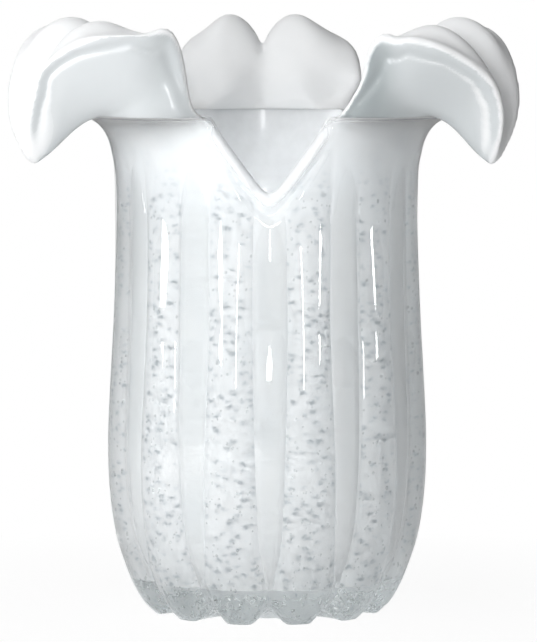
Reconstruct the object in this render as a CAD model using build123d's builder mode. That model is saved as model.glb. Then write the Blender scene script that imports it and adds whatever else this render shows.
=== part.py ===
"""A heavy clear glass flower vase with three frosted petals folded out over its neck.

The body is a wide fluted cylinder: twelve rounded lobes full of small bubbles run up it, with a
smooth clear rib laid in each of the twelve valleys. Three deep notches part the petals, and each
petal swells out of the neck, rises in two rounded lobes with a crease between them, and hangs
down to a blunt point. The axis of the vase is Z, and it stands on the plane Z = 0. The front of
the vase, at -Y, is the middle of one notch.
"""
import os
from math import asin, cos, degrees, pi, radians, sin

from build123d import *

os.makedirs("parts", exist_ok=True)

# The body: height of the seat that carries the petals, and the radius over the fullest lobes.
seat_height = 199.0
body_radius = 65.0
# Height share and radius share of the lobes' tops, level by level, from foot to seat.
body_level_shares = (
    (0.0, 0.705), (0.022, 0.775), (0.06, 0.842), (0.10, 0.892), (0.16, 0.950), (0.25, 0.990),
    (0.352, 1.0), (0.46, 0.987), (0.60, 0.963), (0.80, 0.940), (0.92, 0.945), (1.0, 0.954),
)

# The flutes: lobes round the body, and how deep the valleys between them are.
lobe_count = 12
valley_depth = 3.2
# How much of that depth is left at each level of the body.
valley_depth_shares = (1.0, 1.0, 1.0, 1.0, 1.0, 1.0, 1.0, 1.0, 0.9, 0.6, 0.25, 0.0)

# The clear ribs laid in the valleys: how far they lie below the lobes, their thickness and width.
rib_drop = 2.3
rib_thickness = 1.9
rib_width = 14.4
# Height share of the body and width share of the rib, from its pointed lower end upwards.
rib_level_shares = ((0.085, 0.22), (0.16, 0.62), (0.27, 0.80), (0.45, 0.95), (0.62, 1.0), (0.90, 0.80))
# Height share of the seat where the ribs beside the petals end, and of those under a notch.
rib_end_share = 0.90
notch_rib_end_share = 0.825

# The walls: clear glass left behind a rib, the bubbled liner, and the floors of both layers.
backing_wall = 1.8
liner_wall = 4.0
casing_floor = 9.0
base_gather_thickness = 6.0
liner_floor = 5.5
cavity_corner_radius = 12.0
neck_cavity_radius = 54.0

# The grooves that part the twelve feet.
foot_groove_radius = 3.6
foot_ring_radius = 33.0

# The notches between the petals: half width where the petals begin, depth, and rounding below.
notch_half_width = 24.7
notch_depth = 33.2
notch_round = 8.0

# The petals: count, radius of the swelling that carries them, and where the tip hangs.
petal_count = 3
petal_root_radius = 76.0
corbel_height = 26.0
# How far down the swelling, and how far out it has grown there, from its lower end to the seat.
corbel_shares = ((1.0, -0.26), (0.66, -0.02), (0.38, 0.15), (0.16, 0.46), (0.0, 1.0))
petal_tip_radius = 101.5
petal_tip_height = 180.0
# Height of a petal over its keel at the crest, half its width, half the distance of its two lobes.
petal_rise = 40.3
petal_half_width = 36.0
petal_lobe_half = 15.5
# How deep the crease between the lobes already is where a petal begins.
root_crease = 0.6
# How far a petal's root stays off the notch's wall, and how far the swelling stands proud there.
root_margin = 0.4
# The rounded lip along a petal's edge, and the angle through which a petal curls.
petal_lip = 5.0
petal_curl = 140.0
# Where the round of a hull passes between its keel and its edge, and how it stands at that edge.
hull_half_share = 0.72
hull_rise_share = 0.27
hull_edge_lean_share = 0.30
# How far each tip was drawn aside by hand: left, right and back petal.
petal_swings = (6.0, 5.0, 0.0)
petal_names = ("petal_left", "petal_right", "petal_back")
petal_azimuths = (210.0, 330.0, 90.0)

# One overrun for every cut.
overrun = 5.0

# Values that follow from the sizes above.
levels = [(seat_height * height, body_radius * radius) for height, radius in body_level_shares]
depths = [valley_depth * share for share in valley_depth_shares]
neck_radius = levels[-1][1]
interface_drop = rib_drop + rib_thickness + backing_wall
neck_interface_radius = neck_cavity_radius + (neck_radius - neck_cavity_radius) / 2
cavity_floor_height = casing_floor + base_gather_thickness + liner_floor
lobe_pitch = 360.0 / lobe_count
petal_pitch = 360.0 / petal_count


def envelope_radius(height):
    """Radius over the lobes at a height, along straight lines between the levels."""
    for (low_z, low_r), (high_z, high_r) in zip(levels, levels[1:]):
        if height <= high_z:
            return low_r + (high_r - low_r) * (height - low_z) / (high_z - low_z)
    return neck_radius


def lobed_outline(radius, depth):
    """Points of one closed fluted outline, four to a lobe, with a valley on the axis of each rib."""
    points = []
    steps = 4 * lobe_count
    for step in range(steps):
        angle = 2 * pi * step / steps - pi / 2
        share = (1 + cos(2 * pi * step * lobe_count / steps)) / 2
        reach = radius - depth * share
        points.append((reach * cos(angle), reach * sin(angle)))
    return points


def layer_profile(drop, neck, low_height):
    """Points up a layer that lies a steady depth under the lobes and ends at a radius of its own."""
    points = [(radius - drop, height) for height, radius in levels[:-1] if height > low_height]
    return points + [(neck, seat_height)]


def layer_sketch(profile, floor_height, corner):
    """Half the cut through a round layer: a flat floor, a rounded corner and the given wall."""
    low = profile[0]
    corner_start = (low[0] - corner, floor_height)
    corner_height = low[1] - floor_height
    corner_middle = (low[0] - corner * (1 - sin(pi / 4)), floor_height + corner_height * (1 - cos(pi / 4)))
    with BuildSketch(Plane.XZ) as half_cut:
        with BuildLine():
            Line((0, floor_height), corner_start)
            ThreePointArc(corner_start, corner_middle, low)
            Spline(*profile)
            Polyline(profile[-1], (0, seat_height), (0, floor_height))
        make_face()
    return half_cut.sketch


def root_corner(radius):
    """The point, in a petal's own frame, where a circle of this radius comes up to the notch's wall."""
    angle = radians(petal_pitch / 2 - degrees(asin((notch_half_width + root_margin) / radius)))
    return radius * cos(angle), radius * sin(angle)


def station_plane(azimuth, reach, height, lean, aside):
    """A plane across a petal: X runs along its width, Y from its keel towards its crest."""
    outward = Vector(cos(radians(azimuth)), sin(radians(azimuth)), 0)
    across = Vector(-outward.Y, outward.X, 0)
    upward = outward * -cos(radians(lean)) + Vector(0, 0, sin(radians(lean)))
    origin = outward * reach - across * aside + Vector(0, 0, height)
    return Plane(origin=origin, x_dir=across, z_dir=across.cross(upward))


def hull_line(half, rise):
    """Half of the rounded underside of a petal, from its keel to its edge."""
    quarter = (half * hull_half_share, rise * hull_rise_share)
    Spline((0, 0), quarter, (half, rise), tangents=((1, 0), (hull_edge_lean_share, 1)))


def corbel_section(azimuth, height, bulge_radius, edge_radius):
    """A level cut through the swelling of the casing under a petal."""
    edge_reach, edge_half = root_corner(edge_radius)
    with BuildSketch(station_plane(azimuth, bulge_radius, height, 0, 0), mode=Mode.PRIVATE) as section:
        with BuildLine():
            hull_line(edge_half, bulge_radius - edge_reach)
            Line((edge_half, bulge_radius - edge_reach), (edge_half, bulge_radius - edge_reach + overrun))
            mirror(about=Plane.YZ)
            ThreePointArc(
                (edge_half, bulge_radius - edge_reach + overrun),
                (0, bulge_radius - neck_cavity_radius),
                (-edge_half, bulge_radius - edge_reach + overrun),
            )
        make_face()
    return section.sketch


def root_section(azimuth):
    """The flat foot of a petal, which matches the seat on the body."""
    outer_reach, outer_half = root_corner(neck_radius + root_margin)
    inner_reach, inner_half = root_corner(neck_cavity_radius)
    lobe_reach = (neck_cavity_radius**2 - petal_lobe_half**2) ** 0.5
    rise = petal_root_radius - outer_reach
    inner_rise = petal_root_radius - inner_reach
    with BuildSketch(station_plane(azimuth, petal_root_radius, seat_height, 0, 0), mode=Mode.PRIVATE) as section:
        with BuildLine():
            hull_line(outer_half, rise)
            Line((outer_half, rise), (inner_half, inner_rise))
            Spline(
                (inner_half, inner_rise),
                (petal_lobe_half, petal_root_radius - lobe_reach),
                (0, petal_root_radius - neck_cavity_radius + root_crease),
            )
            mirror(about=Plane.YZ)
        make_face()
    return section.sketch


# Stations along a petal from its root to its tip. Shares of: the keel's way out, the keel's way
# down, the curl, the width, the rise of the edge, the rise of the lobes, the rise of the crease,
# the distance of the lobes, the lip, and how steeply the lobes fall into the crease.
petal_station_shares = (
    (0.060, 0.005, 0.257, 1.000, 0.600, 0.700, 0.585, 1.00, 1.00, 0.35),
    (0.118, 0.020, 0.429, 0.985, 0.780, 0.810, 0.645, 1.00, 1.00, 0.70),
    (0.196, 0.063, 0.614, 0.880, 0.845, 0.985, 0.600, 1.00, 1.00, 0.85),
    (0.333, 0.174, 0.764, 0.660, 0.807, 0.900, 0.510, 0.87, 0.90, 0.80),
    (0.510, 0.395, 0.857, 0.450, 0.715, 0.750, 0.445, 0.62, 0.72, 0.70),
    (0.706, 0.668, 0.929, 0.285, 0.555, 0.560, 0.335, 0.38, 0.50, 0.55),
    (0.882, 0.868, 0.985, 0.155, 0.300, 0.300, 0.200, 0.20, 0.28, 0.40),
    (1.000, 1.000, 1.000, 0.065, 0.110, 0.115, 0.085, 0.08, 0.12, 0.30),
)


def petal_section(azimuth, swing, shares):
    """One heart shaped cut across a petal: rounded underside, lips, two lobes and the crease."""
    out, down, curl, width, edge, lobe, crease, spread, lip_size, fall = shares
    reach = petal_root_radius + (petal_tip_radius - petal_root_radius) * out
    height = seat_height - (seat_height - petal_tip_height) * down
    half = petal_half_width * width
    edge_rise = petal_rise * edge
    lip = petal_lip * lip_size
    inner_edge = (half - lip, edge_rise + lip / 2)
    lip_top = (half - lip / 3, edge_rise + lip / 2)
    lobe_top = (petal_lobe_half * spread, petal_rise * lobe)
    plane = station_plane(azimuth, reach, height, petal_curl * curl, swing * out**0.5)
    with BuildSketch(plane, mode=Mode.PRIVATE) as section:
        with BuildLine():
            hull_line(half, edge_rise)
            ThreePointArc((half, edge_rise), lip_top, inner_edge)
            Spline(inner_edge, lobe_top, (0, petal_rise * crease), tangents=((-1, 0), (fall - 1, -fall)))
            mirror(about=Plane.YZ)
        make_face()
    return section.sketch


# The inner space of the casing: it holds the base gather and the bubbled liner.
with BuildPart() as core:
    core_profile = layer_profile(interface_drop, neck_interface_radius, casing_floor + base_gather_thickness)
    revolve(layer_sketch(core_profile, casing_floor, cavity_corner_radius), axis=Axis.Z)

# The space for water and stems.
with BuildPart() as cavity:
    cavity_profile = layer_profile(interface_drop + liner_wall, neck_cavity_radius, cavity_floor_height + overrun)
    revolve(layer_sketch(cavity_profile, cavity_floor_height, cavity_corner_radius), axis=Axis.Z)

# The three notches, as one cutter.
notch_low = seat_height - notch_depth
with BuildPart() as notches:
    for petal in range(petal_count):
        notch_azimuth = -90.0 + petal * petal_pitch
        outward = Vector(cos(radians(notch_azimuth)), sin(radians(notch_azimuth)), 0)
        with BuildSketch(Plane(origin=outward * (neck_cavity_radius / 2), x_dir=Vector(0, 0, 1).cross(outward),
                               z_dir=outward)):
            with BuildLine():
                FilletPolyline(
                    (notch_half_width, seat_height), (0, notch_low), (-notch_half_width, seat_height),
                    radius=notch_round,
                )
                Polyline(
                    (-notch_half_width, seat_height), (-notch_half_width, seat_height + overrun),
                    (notch_half_width, seat_height + overrun), (notch_half_width, seat_height),
                )
            make_face()
        extrude(amount=body_radius)


def rib_bar(rib):
    """The place where one rib lies: a bar from its seat out past the lobes, pointed at its foot."""
    azimuth = -90.0 + rib * lobe_pitch
    outward = Vector(cos(radians(azimuth)), sin(radians(azimuth)), 0)
    under_notch = rib % (lobe_count // petal_count) == 0
    end_share = notch_rib_end_share if under_notch else rib_end_share
    bar_shares = [pair for pair in rib_level_shares if pair[0] < end_share]
    bar_shares.append((end_share, rib_level_shares[-1][1]))
    with BuildPart() as bar:
        for height_share, width_share in bar_shares:
            height = seat_height * height_share
            seat = envelope_radius(height) - rib_drop - rib_thickness
            half = rib_width * width_share / 2
            with BuildSketch(Plane(origin=(0, 0, height), x_dir=outward, z_dir=(0, 0, 1))):
                with BuildLine():
                    Polyline((seat, -half), (seat + rib_width, -half), (seat + rib_width, half), (seat, half),
                             close=True)
                make_face()
        loft(ruled=True)
    return bar.part


rib_bars = [rib_bar(rib) for rib in range(lobe_count)]

# The outer gather: lobes, the swellings under the petals, the feet, and the seats of the ribs.
with BuildPart() as outer_casing:
    for (height, radius), depth in zip(levels, depths):
        with BuildSketch(Plane.XY.offset(height)):
            with BuildLine():
                Spline(*lobed_outline(radius, depth), periodic=True)
            make_face()
    loft()
    for azimuth in petal_azimuths:
        corbel_sections = []
        for fall_share, bulge_share in corbel_shares:
            bulge = neck_radius + (petal_root_radius - neck_radius) * bulge_share
            edge_radius = neck_radius + root_margin - valley_depth * fall_share
            section_height = seat_height - corbel_height * fall_share
            corbel_sections.append(corbel_section(azimuth, section_height, bulge, edge_radius))
        loft(sections=corbel_sections)
    add(core.part, mode=Mode.SUBTRACT)
    add(notches.part, mode=Mode.SUBTRACT)
    add(rib_bars, mode=Mode.SUBTRACT)
    for foot in range(lobe_count):
        foot_azimuth = -90.0 + foot * lobe_pitch
        outward = Vector(cos(radians(foot_azimuth)), sin(radians(foot_azimuth)), 0)
        with BuildSketch(Plane(origin=outward * foot_ring_radius, x_dir=Vector(0, 0, 1).cross(outward),
                               z_dir=outward)):
            Circle(foot_groove_radius)
        extrude(amount=body_radius, mode=Mode.SUBTRACT)
outer_casing.part.label = "outer_casing"
export_step(outer_casing.part, "parts/outer_casing.step")

# The thick puck of clear glass at the bottom of the liner.
with BuildPart() as base_gather:
    add(core.part)
    split(bisect_by=Plane.XY.offset(casing_floor + base_gather_thickness), keep=Keep.BOTTOM)
base_gather.part.label = "base_gather"
export_step(base_gather.part, "parts/base_gather.step")

# The inner gather, which carries the bubbles and holds the water.
with BuildPart() as bubble_liner:
    add(core.part)
    split(bisect_by=Plane.XY.offset(casing_floor + base_gather_thickness), keep=Keep.TOP)
    add(cavity.part, mode=Mode.SUBTRACT)
    add(notches.part, mode=Mode.SUBTRACT)
bubble_liner.part.label = "bubble_liner"
export_step(bubble_liner.part, "parts/bubble_liner.step")

# The clear ribs: the part of each bar under the ribs' own face.
with BuildPart() as rib_face:
    rib_profile = [(radius - rib_drop, height) for height, radius in levels]
    with BuildSketch(Plane.XZ):
        with BuildLine():
            Spline(*rib_profile)
            Polyline(rib_profile[-1], (0, seat_height), (0, 0), rib_profile[0])
        make_face()
    revolve(axis=Axis.Z)

for rib, bar in enumerate(rib_bars):
    with BuildPart() as clear_rib:
        add(bar)
        add(rib_face.part, mode=Mode.INTERSECT)
    rib_name = f"rib_{rib + 1:02d}"
    clear_rib.part.label = rib_name
    export_step(clear_rib.part, f"parts/{rib_name}.step")

# The three frosted petals.
for name, azimuth, swing in zip(petal_names, petal_azimuths, petal_swings):
    with BuildPart() as petal:
        stations = [root_section(azimuth)]
        stations += [petal_section(azimuth, swing, shares) for shares in petal_station_shares]
        loft(sections=stations)
    petal.part.label = name
    export_step(petal.part, f"parts/{name}.step")
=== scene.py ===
"""Clear bubbled glass vase with three frosted petals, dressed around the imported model.

All sizes are in millimetres while a mesh is shaped, and each mesh is scaled to metres at its end.
The axis of the vase is Z, it stands on Z = 0, and its front, the middle of one notch, is at -Y.
"""
import logging
import random
from collections.abc import Callable, Iterable
from dataclasses import dataclass
from enum import Enum
from math import acos, asin, atan2, cos, degrees, exp, hypot, pi, radians, sin, sqrt

import bmesh
import bpy
from mathutils import Matrix, Vector
from mathutils.kdtree import KDTree

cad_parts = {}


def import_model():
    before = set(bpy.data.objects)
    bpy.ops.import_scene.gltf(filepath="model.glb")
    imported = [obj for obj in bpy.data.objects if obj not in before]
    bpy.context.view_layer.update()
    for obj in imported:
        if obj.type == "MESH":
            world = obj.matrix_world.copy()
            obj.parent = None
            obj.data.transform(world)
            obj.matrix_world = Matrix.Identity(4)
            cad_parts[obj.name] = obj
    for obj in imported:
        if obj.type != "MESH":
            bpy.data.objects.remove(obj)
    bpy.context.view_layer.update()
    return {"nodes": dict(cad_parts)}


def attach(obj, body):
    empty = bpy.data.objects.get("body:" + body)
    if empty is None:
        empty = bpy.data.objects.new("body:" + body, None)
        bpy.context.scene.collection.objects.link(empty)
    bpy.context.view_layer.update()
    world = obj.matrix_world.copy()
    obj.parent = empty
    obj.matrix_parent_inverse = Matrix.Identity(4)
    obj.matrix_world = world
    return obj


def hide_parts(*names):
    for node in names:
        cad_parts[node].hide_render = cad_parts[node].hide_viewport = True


log = logging.getLogger("vase")

MILLIMETRE = 0.001
IMAGE_WIDTH = 537
IMAGE_HEIGHT = 642

Shares = tuple[tuple[float, ...], ...]


class Slot(Enum):
    """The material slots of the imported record."""

    BUBBLED = "clear_bubbled_glass"
    CLEAR = "clear_glass"
    FROSTED = "frosted_glass"


def linear(colour: str) -> tuple[float, float, float, float]:
    """Turns an sRGB hex colour into the linear one that the shader nodes take.

    Args:
        colour: Six hex digits.

    Returns:
        Red, green, blue and an alpha of 1.
    """
    shares = [int(colour[i:i + 2], 16) / 255 for i in (0, 2, 4)]
    red, green, blue = (c / 12.92 if c <= 0.04045 else ((c + 0.055) / 1.055) ** 2.4 for c in shares)
    return red, green, blue, 1.0


class SmoothLine:
    """A smooth line through the rows of a table, sampled once so that a mesh can read it quickly."""

    def __init__(self, rows: Shares, samples: int = 4000) -> None:
        """Samples the line.

        Args:
            rows: Pairs of a place and a value, in rising order of the places.
            samples: Number of steps from the first place to the last.
        """
        self.start = rows[0][0]
        self.step = (rows[-1][0] - rows[0][0]) / samples
        self.values = [self.between(rows, self.start + self.step * i) for i in range(samples + 1)]

    @staticmethod
    def between(rows: Shares, place: float) -> float:
        """Reads the rows along a cubic line that keeps their slopes."""
        for index in range(len(rows) - 1):
            low, high = rows[index], rows[index + 1]
            if place <= high[0]:
                before, after = rows[max(index - 1, 0)], rows[min(index + 2, len(rows) - 1)]
                span = high[0] - low[0]
                start = (high[1] - before[1]) / (high[0] - before[0]) * span
                end = (after[1] - low[1]) / (after[0] - low[0]) * span
                t = (place - low[0]) / span
                return ((2 * t**3 - 3 * t**2 + 1) * low[1] + (t**3 - 2 * t**2 + t) * start
                        + (3 * t**2 - 2 * t**3) * high[1] + (t**3 - t**2) * end)
        return rows[-1][1]

    def __call__(self, place: float) -> float:
        """The value at a place, with the end values held beyond the ends."""
        at = min(max((place - self.start) / self.step, 0.0), len(self.values) - 1.001)
        low = int(at)
        return self.values[low] + (self.values[low + 1] - self.values[low]) * (at - low)


def ease(value: float, start: float, end: float) -> float:
    """A smooth step of value from 0 at start to 1 at end."""
    t = min(max((value - start) / (end - start), 0.0), 1.0)
    return t * t * (3 - 2 * t)


# ---------------------------------------------------------------------------
# Finishes


def add_node(
    tree: bpy.types.NodeTree,
    kind: str,
    values: dict[str | int, object] | None = None,
    links: dict[str | int, bpy.types.NodeSocket] | None = None,
    **settings: object,
) -> bpy.types.Node:
    """Adds one node with its settings, input values and links.

    Args:
        tree: The node tree that gets it.
        kind: The node's type name.
        values: Values for its inputs, by input name or number.
        links: Output sockets to link to its inputs, by input name or number.
        **settings: Attributes of the node.

    Returns:
        The new node.
    """
    node = tree.nodes.new(kind)
    for name, value in settings.items():
        setattr(node, name, value)
    for name, value in (values or {}).items():
        node.inputs[name].default_value = value
    for name, socket in (links or {}).items():
        tree.links.new(socket, node.inputs[name])
    return node


def new_material(name: str) -> tuple[bpy.types.Material, bpy.types.NodeTree]:
    """Makes an empty node material and returns it with its tree."""
    material = bpy.data.materials.new(name)
    material.use_nodes = True
    material.node_tree.nodes.clear()
    return material, material.node_tree


def object_noise(tree: bpy.types.NodeTree, size: float, detail: float, stretch: float = 1.0) -> bpy.types.Node:
    """Adds noise on object coordinates.

    Args:
        tree: The node tree that gets it.
        size: Size of one blotch of the noise, in millimetres.
        detail: Octaves of the noise.
        stretch: How much longer than wide the blotches are along Z.

    Returns:
        The noise node.
    """
    place = add_node(tree, "ShaderNodeTexCoord")
    mapping = add_node(tree, "ShaderNodeMapping", {"Scale": (1.0, 1.0, 1.0 / stretch)},
                       {"Vector": place.outputs["Object"]})
    return add_node(tree, "ShaderNodeTexNoise", {"Scale": 1 / (size * MILLIMETRE), "Detail": detail},
                    {"Vector": mapping.outputs["Vector"]})


def through_shadow(
    tree: bpy.types.NodeTree,
    surface: bpy.types.NodeSocket,
    tint: str,
    depth: bpy.types.NodeSocket | None = None,
) -> None:
    """Lets lamps shine through glass, and links the finished surface to the output.

    Args:
        tree: The node tree of the glass.
        surface: The shader that every ray but a shadow ray sees.
        tint: Colour of the light that gets through, in sRGB hex.
        depth: What thick glass takes from the light inside it, if anything.
    """
    path = add_node(tree, "ShaderNodeLightPath")
    clear = add_node(tree, "ShaderNodeBsdfTransparent", {"Color": linear(tint)})
    mix = add_node(tree, "ShaderNodeMixShader", {},
                   {0: path.outputs["Is Shadow Ray"], 1: surface, 2: clear.outputs[0]})
    links = {"Surface": mix.outputs[0]}
    if depth is not None:
        links["Volume"] = depth
    add_node(tree, "ShaderNodeOutputMaterial", {}, links)


@dataclass(frozen=True)
class FirePolishedGlass:
    """Thick soda crystal, fire polished: it bends what is behind it and mirrors the softboxes."""

    name: str = "fire_polished_crystal"
    body_colour: str = "FFFFFF"
    shadow_colour: str = "FFFFFF"
    refractive_index: float = 1.5
    roughness: float = 0.02
    ripple_size: float = 9.0
    ripple_depth: float = 0.10
    foot_ripple: float = 0.8
    streak_size: float = 3.5
    depth_colour: str = "C9D3D2"
    depth_density: float = 6.0
    frost_colour: str = "EEF0F2"
    frost_attribute: str = "frost"

    def material(self) -> bpy.types.Material:
        """Builds the clear glass with its slow ripple, and the frost that runs down from the petals."""
        material, tree = new_material(self.name)
        ripple = object_noise(tree, self.ripple_size, 1.0, stretch=3.0)
        streaks = object_noise(tree, self.streak_size, 1.0, stretch=5.0)
        place = add_node(tree, "ShaderNodeTexCoord")
        spot = add_node(tree, "ShaderNodeSeparateXYZ", {}, {0: place.outputs["Object"]})
        depth = add_node(tree, "ShaderNodeMapRange",
                         {"From Min": 0.018, "From Max": 0.034, "To Min": self.foot_ripple, "To Max": self.ripple_depth},
                         {"Value": spot.outputs["Z"]})
        foot = add_node(tree, "ShaderNodeMapRange",
                        {"From Min": 0.018, "From Max": 0.034, "To Min": 1.0, "To Max": 0.0},
                        {"Value": spot.outputs["Z"]})
        waves = add_node(tree, "ShaderNodeMix", {}, {0: foot.outputs[0], 2: ripple.outputs[0], 3: streaks.outputs[0]})
        bump = add_node(tree, "ShaderNodeBump", {"Distance": MILLIMETRE},
                        {"Height": waves.outputs[0], "Strength": depth.outputs[0]})
        glass = add_node(
            tree, "ShaderNodeBsdfPrincipled",
            {
                "Base Color": linear(self.body_colour), "Roughness": self.roughness,
                "IOR": self.refractive_index, "Transmission Weight": 1.0,
            },
            {"Normal": bump.outputs[0]},
        )
        satin = add_node(
            tree, "ShaderNodeBsdfPrincipled",
            {
                "Base Color": linear(self.frost_colour), "Roughness": 0.25, "IOR": self.refractive_index,
                "Subsurface Weight": 0.35, "Subsurface Radius": (1.0, 1.0, 1.0),
                "Subsurface Scale": 6.0 * MILLIMETRE,
            },
        )
        frost = add_node(tree, "ShaderNodeAttribute", attribute_name=self.frost_attribute)
        patches = object_noise(tree, 5.0, 3.0)
        ragged = add_node(tree, "ShaderNodeMath", {1: 0.12, 2: -0.06}, {0: patches.outputs[0]},
                          operation="MULTIPLY_ADD")
        cover = add_node(tree, "ShaderNodeMath", {}, {0: frost.outputs["Fac"], 1: ragged.outputs[0]},
                         operation="ADD")
        share = add_node(tree, "ShaderNodeMapRange", {"From Min": 0.06, "From Max": 1.0},
                         {"Value": cover.outputs[0]})
        surface = add_node(tree, "ShaderNodeMixShader", {},
                           {0: share.outputs[0], 1: glass.outputs[0], 2: satin.outputs[0]})
        depth = add_node(tree, "ShaderNodeVolumeAbsorption",
                         {"Color": linear(self.depth_colour), "Density": self.depth_density})
        through_shadow(tree, surface.outputs[0], self.shadow_colour, depth.outputs[0])
        return material


@dataclass(frozen=True)
class RibGlass:
    """The same crystal, polished smooth and fused on: it adds a mirror face and no second lens."""

    name: str = "polished_crystal_rib"
    shine: float = 1.45

    def material(self) -> bpy.types.Material:
        """Builds the skin of a rib: clear straight on, bright at a low angle."""
        material, tree = new_material(self.name)
        gloss = add_node(tree, "ShaderNodeBsdfGlossy", {"Color": linear("FFFFFF"), "Roughness": 0.03})
        clear = add_node(tree, "ShaderNodeBsdfTransparent", {"Color": linear("FFFFFF")})
        edge = add_node(tree, "ShaderNodeFresnel", {"IOR": self.shine})
        side = add_node(tree, "ShaderNodeNewGeometry")
        front = add_node(tree, "ShaderNodeMath", {0: 1.0}, {1: side.outputs["Backfacing"]}, operation="SUBTRACT")
        share = add_node(tree, "ShaderNodeMath", {}, {0: edge.outputs[0], 1: front.outputs[0]},
                         operation="MULTIPLY")
        skin = add_node(tree, "ShaderNodeMixShader", {},
                        {0: share.outputs[0], 1: clear.outputs[0], 2: gloss.outputs[0]})
        through_shadow(tree, skin.outputs[0], "F8F9F9")
        return material


@dataclass(frozen=True)
class BubbledGlass:
    """The milky gather full of fine bubbles: it scatters light softly and is speckled grey."""

    name: str = "bubbled_gather_glass"
    milk_colour: str = "FFFFFF"
    speck_colour: str = "B4BABE"
    cloud_colour: str = "F4F7F9"
    milk_share: float = 0.62
    rib_milk_share: float = 0.64
    speck_size: float = 2.5
    cloud_size: float = 9.0
    lobe_attribute: str = "lobe"
    clear_attribute: str = "clear"
    side_milk: float = 0.35

    def material(self) -> bpy.types.Material:
        """Builds the milky layer with its fine specks, which stay in the lobes."""
        material, tree = new_material(self.name)
        lobe = add_node(tree, "ShaderNodeAttribute", attribute_name=self.lobe_attribute)
        place = add_node(tree, "ShaderNodeTexCoord")
        wander = object_noise(tree, 1.6, 1.0)
        warped = add_node(tree, "ShaderNodeVectorMath", {1: (0.0026,) * 3},
                          {0: wander.outputs["Color"], 2: place.outputs["Object"]}, operation="MULTIPLY_ADD")
        flat = add_node(tree, "ShaderNodeMapping", {"Scale": (1.0, 1.0, 1.7)}, {"Vector": warped.outputs[0]})
        cells = add_node(tree, "ShaderNodeTexVoronoi", {"Scale": 1 / (self.speck_size * 1.7 * MILLIMETRE)},
                         {"Vector": flat.outputs["Vector"]})
        spot = add_node(tree, "ShaderNodeMapRange",
                        {"From Min": 0.12, "From Max": 0.52, "To Min": 1.0, "To Max": 0.0},
                        {"Value": cells.outputs["Distance"]})
        kept = add_node(tree, "ShaderNodeMapRange", {"From Min": 0.25, "From Max": 0.35},
                        {"Value": cells.outputs["Color"]})
        spots = add_node(tree, "ShaderNodeMath", {}, {0: spot.outputs[0], 1: kept.outputs[0]},
                         operation="MULTIPLY")
        specks = add_node(tree, "ShaderNodeMath", {}, {0: spots.outputs[0], 1: lobe.outputs["Fac"]},
                          operation="MULTIPLY")
        cloud = object_noise(tree, self.cloud_size, 3.0, stretch=2.0)
        milk = add_node(
            tree, "ShaderNodeMix",
            {6: linear(self.milk_colour), 7: linear(self.cloud_colour)}, {0: cloud.outputs[0]},
            data_type="RGBA",
        )
        colour = add_node(tree, "ShaderNodeMix", {7: linear(self.speck_colour)},
                          {0: specks.outputs[0], 6: milk.outputs[2]}, data_type="RGBA")
        scatter = add_node(tree, "ShaderNodeBsdfDiffuse", {}, {"Color": colour.outputs[2]})
        glow = add_node(tree, "ShaderNodeBsdfTranslucent", {}, {"Color": colour.outputs[2]})
        soft = add_node(tree, "ShaderNodeMixShader", {0: 0.35}, {1: scatter.outputs[0], 2: glow.outputs[0]})
        clear = add_node(tree, "ShaderNodeBsdfTransparent", {"Color": linear("FFFFFF")})
        rib_milk = add_node(tree, "ShaderNodeMapRange", {"To Min": self.rib_milk_share, "To Max": self.milk_share},
                            {"Value": lobe.outputs["Fac"]})
        spotted = add_node(tree, "ShaderNodeMath", {1: 0.30}, {0: specks.outputs[0], 2: rib_milk.outputs[0]},
                           operation="MULTIPLY_ADD")
        thinning = add_node(tree, "ShaderNodeAttribute", attribute_name=self.clear_attribute)
        kept_share = add_node(tree, "ShaderNodeMapRange", {"To Min": 1.0, "To Max": self.side_milk},
                              {"Value": thinning.outputs["Fac"]})
        density = add_node(tree, "ShaderNodeMath", {}, {0: spotted.outputs[0], 1: kept_share.outputs[0]},
                           operation="MULTIPLY")
        surface = add_node(tree, "ShaderNodeMixShader", {},
                           {0: density.outputs[0], 1: clear.outputs[0], 2: soft.outputs[0]})
        through_shadow(tree, surface.outputs[0], "F8F9FA")
        return material


@dataclass(frozen=True)
class AirBubble:
    """Air trapped in glass: it bends light the other way round, so each bubble has a dark ring."""

    name: str = "trapped_air"
    refractive_index: float = 1 / 1.2

    def material(self) -> bpy.types.Material:
        """Builds the bubbles' face."""
        material, tree = new_material(self.name)
        air = add_node(
            tree, "ShaderNodeBsdfPrincipled",
            {"Base Color": linear("F4F6F6"), "Roughness": 0.05, "IOR": self.refractive_index,
             "Transmission Weight": 1.0},
        )
        through_shadow(tree, air.outputs[0], "F0F2F2")
        return material


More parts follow.
